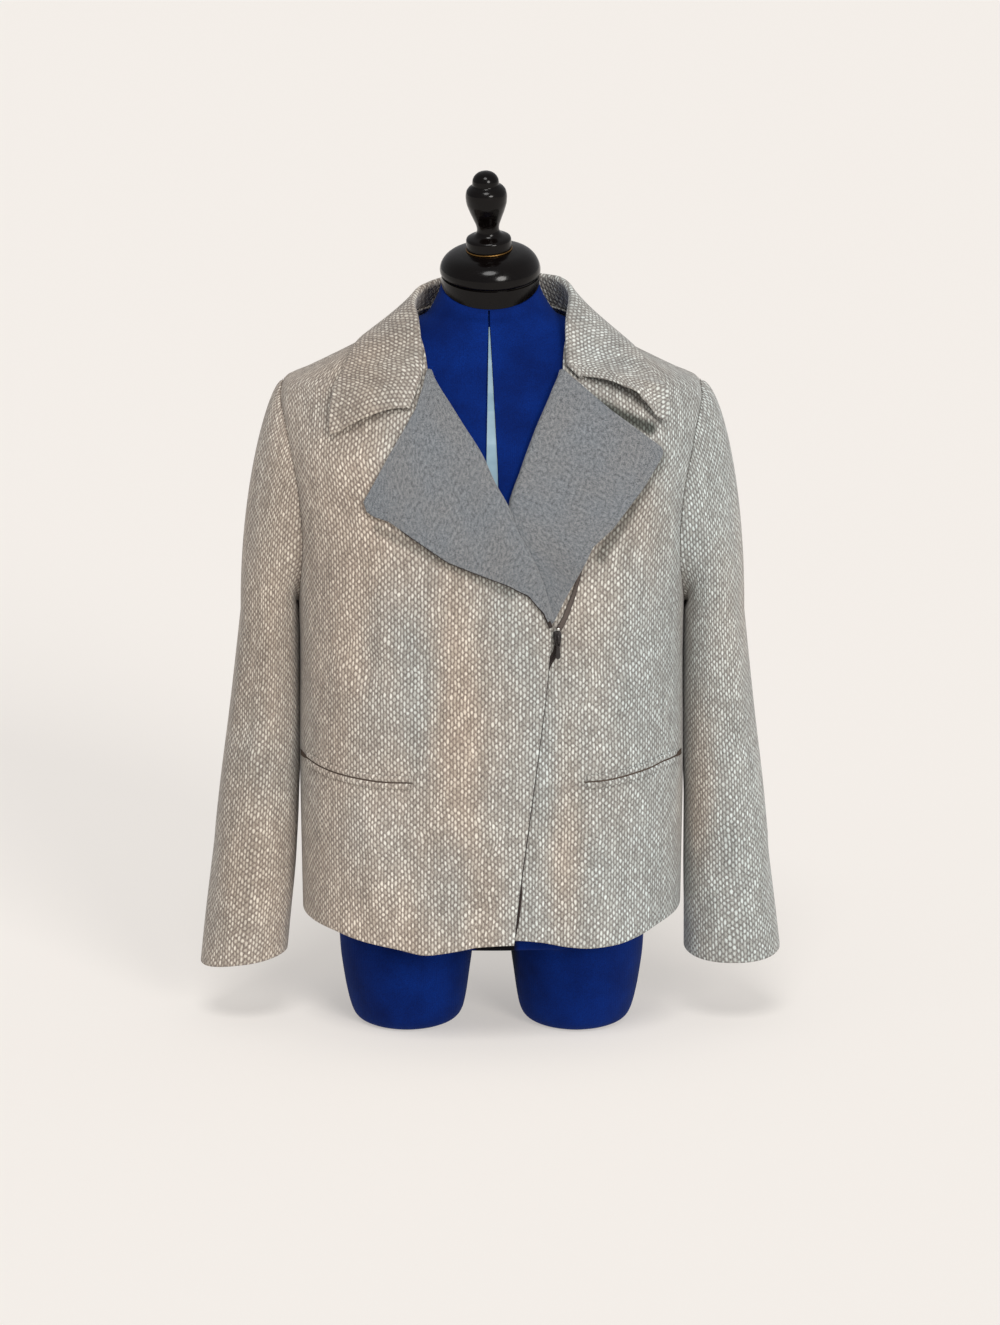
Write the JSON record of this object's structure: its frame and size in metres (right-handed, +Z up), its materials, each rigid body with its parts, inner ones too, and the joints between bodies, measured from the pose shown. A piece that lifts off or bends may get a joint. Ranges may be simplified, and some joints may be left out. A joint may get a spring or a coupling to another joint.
{
  "type": "tweed blazer on a dress form",
  "caption": "Tweed jacket with a slanting front zip, turned-back flannel-faced lapels and jetted pockets, standing on a limbless jersey dress form with a black neck cap",
  "frame": {"origin": "middle of the bounding box, at the height of the thigh stubs' flat undersides", "axes": "+Z is up, the jacket's front faces -Y and the wearer's left is +X"},
  "size_m": [0.585, 0.312, 0.8608],
  "materials": {
    "hopsack_tweed": "coarse cream and brown-grey wool",
    "grey_wool_flannel": "brushed grey wool",
    "blue_jersey": "fine matt knit",
    "dark_zip_metal": "dark satin",
    "pale_blue_plastic": "satin",
    "black_gloss_plastic": "glossy"
  },
  "bodies": {
    "jacket_on_form": {"front_right": "hopsack_tweed", "front_left": "hopsack_tweed", "back": "hopsack_tweed", "sleeve_right": "hopsack_tweed", "sleeve_left": "hopsack_tweed", "collar": "hopsack_tweed", "pocket_jet_right_upper": "hopsack_tweed", "pocket_jet_right_lower": "hopsack_tweed", "pocket_jet_left_upper": "hopsack_tweed", "pocket_jet_left_lower": "hopsack_tweed", "lapel_facing_right": "grey_wool_flannel", "lapel_facing_left": "grey_wool_flannel", "zip_chain_right": "dark_zip_metal", "zip_chain_left": "dark_zip_metal", "zip_chain_closed": "dark_zip_metal", "zip_slider": "dark_zip_metal", "form_body": "blue_jersey", "form_gap_strip": "pale_blue_plastic", "form_neck_cap": "black_gloss_plastic", "form_knob": "black_gloss_plastic"},
    "pull_tab": {"zip_pull": "dark_zip_metal"}
  },
  "joints": [
    {"name": "pull_tab_swing", "type": "hinge", "parent": "jacket_on_form", "child": "pull_tab", "pos_m": [0.06504, -0.14977, 0.41906], "axis": [-0.9848, -0.1736, 0], "range_deg": [0, 135]}
  ]
}
